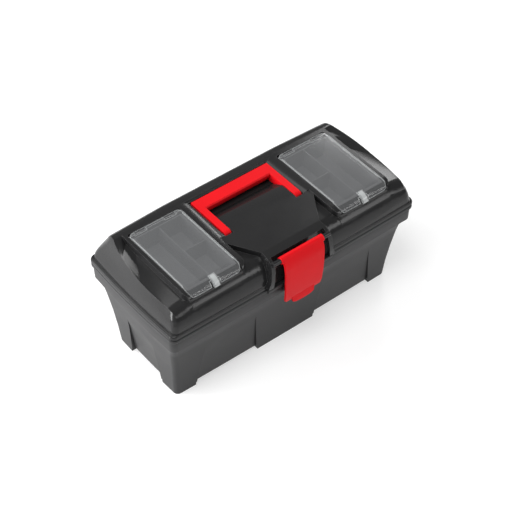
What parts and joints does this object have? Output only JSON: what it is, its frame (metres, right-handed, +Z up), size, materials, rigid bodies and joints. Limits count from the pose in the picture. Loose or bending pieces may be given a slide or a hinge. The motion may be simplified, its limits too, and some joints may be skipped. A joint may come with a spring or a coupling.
{
  "type": "tool box with tray",
  "caption": "Moulded tool box with a hinged lid, folding carry handle, front latch, clear-covered organisers in the lid and a lift-out tray.",
  "frame": {"origin": "centre of the tub in plan, at the feet's underside; the centre of the overall size is 1.75 mm from it, towards the latch", "axes": "+X along the long side, +Z up, -Y towards the latch"},
  "size_m": [0.4, 0.2013, 0.1863],
  "materials": {
    "black_plastic": "fine satin grain",
    "red_plastic": "semi-gloss",
    "clear_plastic": "clear, polished",
    "bin_plastic": "satin",
    "tray_plastic": "satin",
    "pin_steel": "drawn wire"
  },
  "bodies": {
    "base": {"base_tub": "black_plastic", "hinge_pin_left": "pin_steel", "hinge_pin_right": "pin_steel"},
    "lid": {"lid_shell": "black_plastic", "handle_pin_left": "black_plastic", "handle_pin_right": "black_plastic", "latch_pin": "pin_steel", "organiser_bin_left": "bin_plastic", "organiser_bin_right": "bin_plastic", "organiser_long_divider_left": "bin_plastic", "organiser_long_divider_right": "bin_plastic", "organiser_cross_divider_left": "bin_plastic", "organiser_cross_divider_right": "bin_plastic", "organiser_hinge_pin_left": "pin_steel", "organiser_hinge_pin_right": "pin_steel"},
    "handle": {"carry_handle": "red_plastic"},
    "latch": {"front_latch": "red_plastic"},
    "cover_left": {"organiser_cover_left": "clear_plastic"},
    "cover_right": {"organiser_cover_right": "clear_plastic"},
    "tray": {"lift_out_tray": "tray_plastic", "tray_divider_front_left": "tray_plastic", "tray_divider_front_right": "tray_plastic", "tray_divider_back": "tray_plastic"}
  },
  "joints": [
    {"name": "lid_hinge", "type": "hinge", "parent": "base", "child": "lid", "pos_m": [0, 0.0946, 0.136], "axis": [-1, 0, 0], "range_deg": [0, 105]},
    {"name": "handle_pivot", "type": "hinge", "parent": "lid", "child": "handle", "pos_m": [0, -0.015, 0.1794], "axis": [1, 0, 0], "range_deg": [0, 90]},
    {"name": "latch_pivot", "type": "hinge", "parent": "lid", "child": "latch", "pos_m": [0, -0.0932, 0.1772], "axis": [-1, 0, 0], "range_deg": [0, 110]},
    {"name": "cover_left_hinge", "type": "hinge", "parent": "lid", "child": "cover_left", "pos_m": [-0.1202, 0.0505, 0.1833], "axis": [-1, 0, 0], "range_deg": [0, 100]},
    {"name": "cover_right_hinge", "type": "hinge", "parent": "lid", "child": "cover_right", "pos_m": [0.1202, 0.0505, 0.1833], "axis": [-1, 0, 0], "range_deg": [0, 100]},
    {"name": "tray_lift", "type": "slide", "parent": "base", "child": "tray", "axis": [0, 0, 1], "range_m": [0, 0.02]}
  ]
}
